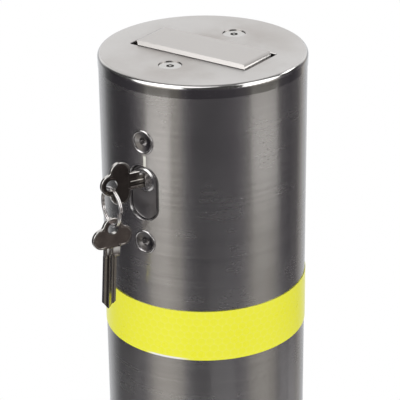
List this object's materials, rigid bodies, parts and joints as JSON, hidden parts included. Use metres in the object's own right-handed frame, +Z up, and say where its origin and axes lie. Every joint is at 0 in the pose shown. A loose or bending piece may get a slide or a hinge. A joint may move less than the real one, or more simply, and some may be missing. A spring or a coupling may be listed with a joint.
{
  "type": "removable bollard",
  "caption": "Round steel bollard with a pull-up lifting handle in its cap, an oval key lock with keys on a ring, a reflective band and foot bolts that the handle draws in.",
  "frame": {"origin": "middle of the foot's resting face", "axes": "+Z up the post, -Y towards the lock's side, X along the lifting handle's long side"},
  "size_m": [0.14, 0.143, 1.1519],
  "materials": {
    "brushed_steel": "circumferentially brushed stainless steel",
    "satin_steel": "satin stainless steel plate with polished edges",
    "machined_steel": "turned and milled steel",
    "zinc_steel": "zinc-plated fastener steel",
    "cast_zinc": "machined aluminium",
    "satin_chrome": "satin chrome on brass",
    "nickel_key": "nickel silver",
    "spring_steel": "spring steel",
    "nylon": "moulded nylon",
    "reflective_tape": "fluorescent yellow prismatic tape"
  },
  "bodies": {
    "post": {"post_tube": "brushed_steel", "cap_plate": "satin_steel", "cap_screws": "satin_steel", "cap_lug_front": "machined_steel", "cap_lug_rear": "machined_steel", "reflective_band": "reflective_tape", "guide_channel_left": "machined_steel", "guide_channel_right": "machined_steel", "channel_screws": "zinc_steel", "lock_case": "cast_zinc", "side_screws": "satin_steel", "oval_cylinder": "satin_chrome", "upper_guide_plate": "machined_steel", "upper_guide_bush": "nylon", "lower_guide_plate": "machined_steel", "lower_guide_bush": "nylon", "bolt_carrier": "cast_zinc", "carrier_screws": "satin_steel", "foot_plug": "cast_zinc", "foot_plug_screws": "satin_steel"},
    "lifter": {"lift_handle": "satin_steel", "handle_crosshead": "machined_steel", "crosshead_screws": "zinc_steel", "lift_rod": "machined_steel", "rod_nuts": "zinc_steel", "disc_spacer": "zinc_steel", "locking_disc": "machined_steel", "spring_collar": "machined_steel", "collar_pin": "machined_steel", "return_spring": "spring_steel", "rod_clevis": "machined_steel", "clevis_pin": "machined_steel", "bolt_cam_plate": "machined_steel"},
    "left_bolt": {"foot_bolt_left": "machined_steel", "bolt_pin_left": "machined_steel"},
    "right_bolt": {"foot_bolt_right": "machined_steel", "bolt_pin_right": "machined_steel"},
    "plug": {"lock_plug": "satin_chrome", "lock_cam": "zinc_steel", "cam_screw": "zinc_steel"},
    "key": {"key_in_lock": "nickel_key"},
    "ring": {"key_ring": "nickel_key"},
    "second_key": {"spare_key": "nickel_key"}
  },
  "joints": [
    {"name": "handle_lift", "type": "slide", "parent": "post", "child": "lifter", "axis": [0, 0, 1], "range_m": [0, 0.04], "stiffness_N_per_m": 300, "springref_m": -0.05, "deforming": ["return_spring"]},
    {"name": "left_bolt_slide", "type": "slide", "parent": "post", "child": "left_bolt", "axis": [1, 0, 0], "range_m": [0, 0.014]},
    {"name": "right_bolt_slide", "type": "slide", "parent": "post", "child": "right_bolt", "axis": [-1, 0, 0], "range_m": [0, 0.014]},
    {"name": "plug_turn", "type": "hinge", "parent": "post", "child": "plug", "pos_m": [-0.00054, -0.05689, 1.0927], "axis": [-0.4384, -0.8988, 0], "range_deg": [0, 90]},
    {"name": "key_pull", "type": "slide", "parent": "plug", "child": "key", "axis": [-0.4384, -0.8988, 0], "range_m": [0, 0.032]},
    {"name": "ring_swing", "type": "hinge", "parent": "key", "child": "ring", "pos_m": [-0.00865, -0.07351, 1.0918], "axis": [-0.8988, 0.4384, 0], "range_deg": [-4, 35]},
    {"name": "second_key_swing", "type": "hinge", "parent": "ring", "child": "second_key", "pos_m": [-0.00865, -0.07351, 1.0708], "axis": [-0.9336, 0.3584, 0], "range_deg": [-4, 30]}
  ],
  "couplings": [
    {"joint": "left_bolt_slide", "follows": "handle_lift", "ratio": 0.35},
    {"joint": "right_bolt_slide", "follows": "handle_lift", "ratio": 0.35}
  ]
}
